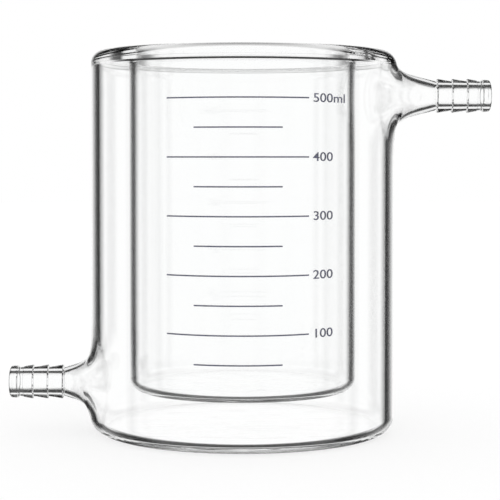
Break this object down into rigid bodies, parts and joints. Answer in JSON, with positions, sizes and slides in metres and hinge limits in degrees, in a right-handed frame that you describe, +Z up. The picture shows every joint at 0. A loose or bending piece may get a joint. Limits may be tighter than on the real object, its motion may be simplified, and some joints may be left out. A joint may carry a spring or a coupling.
{
  "type": "jacketed beaker",
  "caption": "Double-walled glass beaker with a fused rim and barbed hose necks, so that fluid in the jacket heats or cools the contents; printed volume scale.",
  "frame": {"origin": "centre of the flat underside of the outer wall's floor", "axes": "+Z up along the beaker's axis; +X along the upper hose neck (the outlet), -X along the lower one; the printed scale faces -Y"},
  "size_m": [0.1767, 0.111, 0.1395],
  "materials": {
    "borosilicate_glass": "clear, fire polished",
    "blue_enamel": "fired screen print"
  },
  "bodies": {
    "root": {"inner_vessel": "borosilicate_glass", "outer_jacket": "borosilicate_glass", "rim_seal": "borosilicate_glass", "outlet_hose_barb": "borosilicate_glass", "inlet_hose_barb": "borosilicate_glass", "scale_lines_100ml": "blue_enamel", "scale_lines_50ml": "blue_enamel"}
  },
  "joints": []
}
